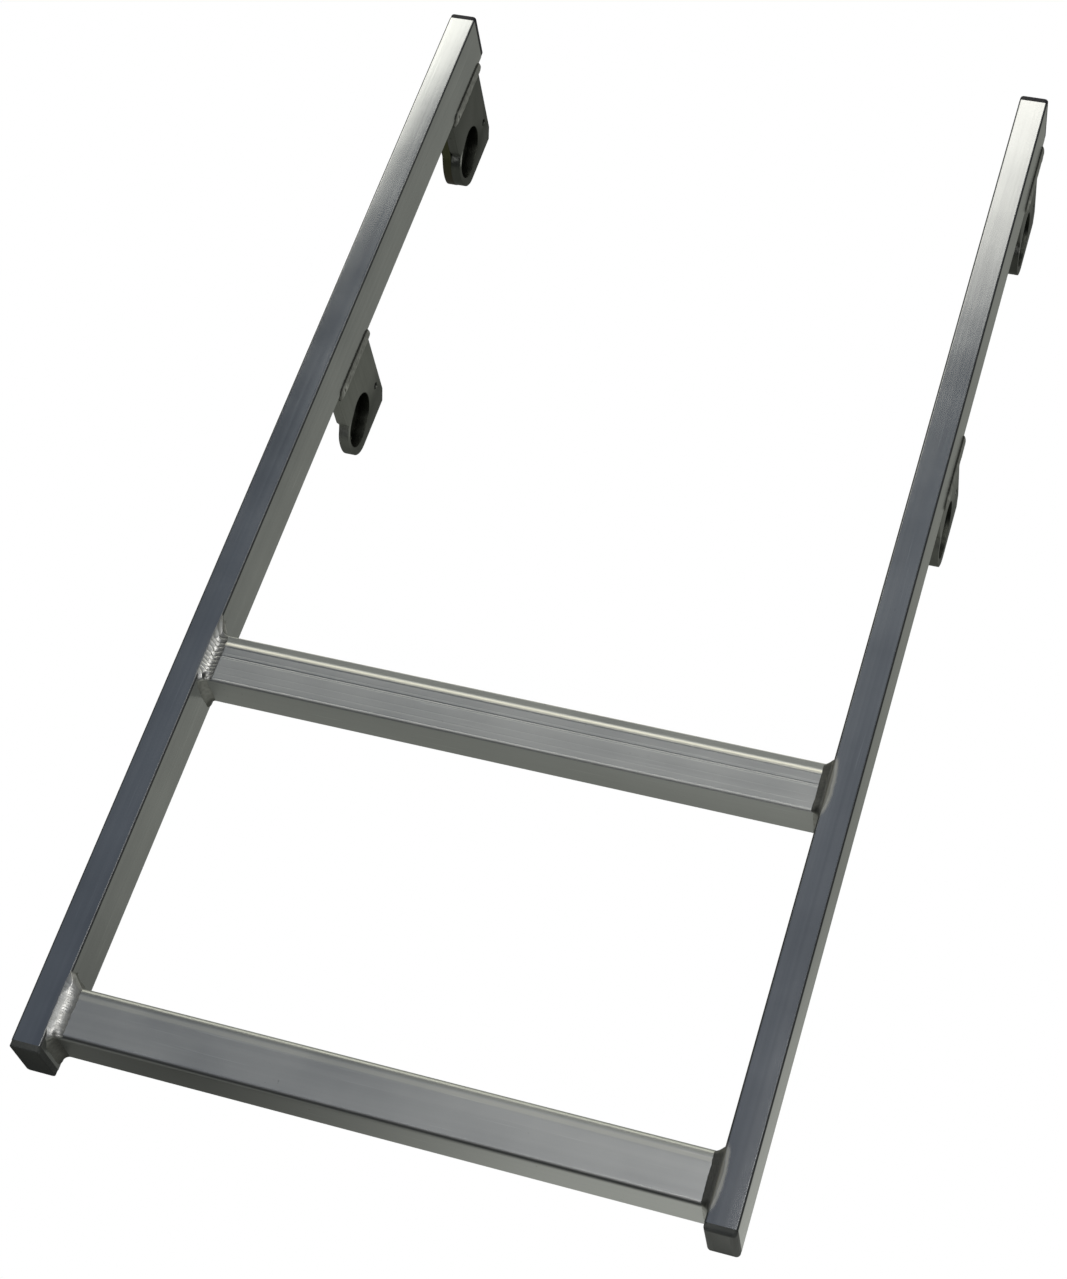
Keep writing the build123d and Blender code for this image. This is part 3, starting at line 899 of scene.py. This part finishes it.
# Weld styles. Each has its number of steps round the rung, then in metres its legs on the rail and on the
# rung, the swell of its section, the height and pitch of its scales, its pit and its tail. Side values hold
# beside the rung. Bow is how far the scales curve, and the tones set how bright its painted shading is.
RIPPLED = {
    "count": 760, "leg": 8 * MM, "side_leg": 7.4 * MM, "rung_leg": 9.2 * MM, "side_rung_leg": 6.2 * MM,
    "swell": 1.1 * MM, "side_swell": -1.6 * MM, "ripple": 0.72 * MM, "pitch": 4.1 * MM, "bow": 1.1,
    "pit": 1.3 * MM, "tail": 12 * MM, "tone": 1.9, "side_tone": 0.5, "scale_tone": 0.75,
}
STREAKED = {
    "count": 760, "leg": 8 * MM, "side_leg": 9 * MM, "rung_leg": 10.5 * MM, "side_rung_leg": 6.4 * MM,
    "swell": 1.3 * MM, "side_swell": -1.6 * MM, "ripple": 0.16 * MM, "pitch": 1.9 * MM, "bow": 0.3,
    "pit": 0.8 * MM, "tail": 7 * MM, "tone": 1.8, "side_tone": 0.4, "scale_tone": 0.3,
}
HOLLOW = {
    "count": 560, "leg": 7.5 * MM, "side_leg": 6.8 * MM, "rung_leg": 7.2 * MM, "side_rung_leg": 6.2 * MM,
    "swell": -0.6 * MM, "side_swell": -1.6 * MM, "ripple": 0.03 * MM, "pitch": 2.6 * MM, "bow": 0.4,
    "pit": 0.0, "tail": 0.0, "tone": 0.3, "side_tone": 0.5, "scale_tone": 0.0,
}
WELD_STYLES = {
    ("middle", "left"): RIPPLED,
    ("bottom", "left"): STREAKED,
    ("middle", "right"): HOLLOW,
    ("bottom", "right"): HOLLOW,
}

seed = FIRST_SEED
for side, side_name in SIDE_NAMES.items():
    make_rail(side, rail_metal)
    make_cap(side, -1, worn_plastic, CAP_EDGE if side < 0 else CAP_CORNER)
    make_cap(side, 1, plastic, CAP_EDGE)
    for which in ("middle", "bottom"):
        make_rung_weld(which, side, WELD_STYLES[which, side_name], weld_metal, seed)
        seed += 1
    for level, backing_material in (("lower", shaded_backing_metal), ("upper", plated_metal)):
        tag = f"{side_name}_{level}"
        eased_copy(f"hook_plate_{tag}", f"bracket_plate_{tag}", plate_metal, PLATE_EDGE)
        eased_copy(f"backing_{tag}", f"bracket_backing_{tag}", backing_material, BACKING_EDGE)
        make_bracket_bead(side, level, 1, BEAD_LENGTH, weld_metal, seed)
        backing_length = BEAD_LENGTH if level == "upper" else LOWER_BACKING - 2 * BEAD_SETBACK
        make_bracket_bead(side, level, -1, backing_length, weld_metal, seed + BACKING_SEED)
        seed += 1

make_rung("middle", tread_outline, tread_metal)
make_rung("bottom", bottom_outline, tread_metal)

# ---------------------------------------------------------------- studio

# Room light by height of the direction: sine of the height, colour
ROOM_LIGHT = (
    (0.0, (0.03, 0.03, 0.028)),
    (0.5, (0.045, 0.048, 0.05)),
    (0.85, (0.125, 0.143, 0.17)),
    (1.0, (0.04, 0.05, 0.075)),
)

# What the floor throws back on the metal
FLOOR_GLOW = (0.225, 0.232, 0.208)

# Patches of the floor that glow more or less: place, reach, colour
FLOOR_PATCHES = (
    ((0.34, -0.74, 0.0), 0.55, (0.62, 0.63, 0.58)),
    ((-0.22, -0.7, 0.0), 0.34, (0.0, 0.0, 0.0)),
)

# Soft panels: name, place, aim, width and height, colour times brightness
PANELS = (
    ("window_low", (-1.2, 3.2, 0.75), (-1.2, 0.0, 0.75), (4.4, 1.5), (0.7, 0.72, 0.66)),
    ("window_middle", (-1.2, 3.2, 2.05), (-1.2, 0.0, 2.05), (4.4, 1.1), (2.3, 2.25, 1.98)),
    ("window_left_high", (-2.2, 3.2, 3.0), (-2.2, 0.0, 3.0), (2.4, 0.74), (2.1, 2.07, 1.88)),
    ("window_right_high", (0.0, 3.2, 3.08), (0.0, 0.0, 3.08), (2.0, 0.96), (1.85, 1.8, 1.64)),
    ("ceiling_middle", (-0.15, 1.1, 3.4), (-0.15, 1.1, 0.0), (1.6, 2.2), (0.06, 0.06, 0.058)),
    ("ceiling_front", (0.86, -0.52, 3.4), (0.4, -0.5, 0.0), (1.2, 1.2), (5.2, 5.1, 4.85)),
    ("ceiling_back", (0.4, -2.2, 3.4), (0.1, -0.2, 0.0), (2.4, 1.4), (0.6, 0.58, 0.55)),
)


def add_camera():
    """Camera above the foot of the ladder, a little to its right."""
    data = bpy.data.cameras.new("view_camera")
    data.lens = CAMERA_LENS
    data.sensor_width = 36.0
    data.clip_end = 50.0
    camera = bpy.data.objects.new("view_camera", data)
    camera.location = CAMERA_PLACE
    camera.rotation_euler = [math.radians(angle) for angle in CAMERA_TURN]
    bpy.context.scene.collection.objects.link(camera)
    bpy.context.scene.camera = camera


def add_floor():
    """Pale floor: plain white to the eye, and a soft glow to the metal above it."""
    mesh = bpy.data.meshes.new("floor")
    reach = 8.0
    corners = [(-reach, -reach, 0), (reach, -reach, 0), (reach, reach, 0), (-reach, reach, 0)]
    mesh.from_pydata(corners, [], [(0, 1, 2, 3)])
    floor = bpy.data.objects.new("floor", mesh)
    bpy.context.scene.collection.objects.link(floor)
    material = bpy.data.materials.new("pale_floor")
    material.use_nodes = True
    tree = material.node_tree
    tree.nodes.remove(tree.nodes["Principled BSDF"])
    glow = tree.nodes.new("ShaderNodeEmission")
    sight = tree.nodes.new("ShaderNodeLightPath")
    place = tree.nodes.new("ShaderNodeTexCoord").outputs["Object"]
    cast = FLOOR_GLOW
    for centre, patch_reach, colour in FLOOR_PATCHES:
        ball = tree.nodes.new("ShaderNodeTexGradient")
        ball.gradient_type = "SPHERICAL"
        offset = tuple(-part / patch_reach for part in centre)
        wire(tree, stretch_node(tree, place, (1 / patch_reach,) * 3, offset), ball.inputs["Vector"])
        cast = mix_colour(tree, ball.outputs["Fac"], cast, colour)
    wire(tree, mix_colour(tree, sight.outputs["Is Camera Ray"], cast, (1.0, 1.0, 1.0)), glow.inputs["Color"])
    wire(tree, glow.outputs[0], tree.nodes["Material Output"].inputs["Surface"])
    mesh.materials.append(material)


def add_panel(name, place, aim, size, colour):
    """Rectangular soft light aimed at a point, as bright as its colour says."""
    peak = max(colour)
    data = bpy.data.lights.new(name, "AREA")
    data.shape = "RECTANGLE"
    data.size, data.size_y = size
    data.energy = peak * math.pi * size[0] * size[1]
    data.color = [channel / peak for channel in colour]
    light = bpy.data.objects.new(name, data)
    light.location = place
    light.rotation_euler = (Vector(aim) - Vector(place)).to_track_quat("-Z", "Y").to_euler()
    bpy.context.scene.collection.objects.link(light)


def add_room():
    """Dim room light that changes with the height of the direction, behind a background that is pale to
    the eye."""
    world = bpy.data.worlds.new("studio")
    world.use_nodes = True
    tree = world.node_tree
    back = tree.nodes["Background"]
    direction = tree.nodes.new("ShaderNodeTexCoord").outputs["Generated"]
    ramp = tree.nodes.new("ShaderNodeValToRGB")
    while len(ramp.color_ramp.elements) < len(ROOM_LIGHT):
        ramp.color_ramp.elements.new(0.5)
    for element, (height, colour) in zip(ramp.color_ramp.elements, ROOM_LIGHT):
        element.position = height
        element.color = (*colour, 1)
    wire(tree, split_vector(tree, direction)["Z"], ramp.inputs[0])
    sight = tree.nodes.new("ShaderNodeLightPath").outputs["Is Camera Ray"]
    wire(tree, mix_colour(tree, sight, ramp.outputs[0], (0.93, 0.93, 0.93)), back.inputs["Color"])
    bpy.context.scene.world = world


add_camera()
add_floor()
add_room()
for panel in PANELS:
    add_panel(*panel)
bpy.context.scene.view_settings.view_transform = "Standard"
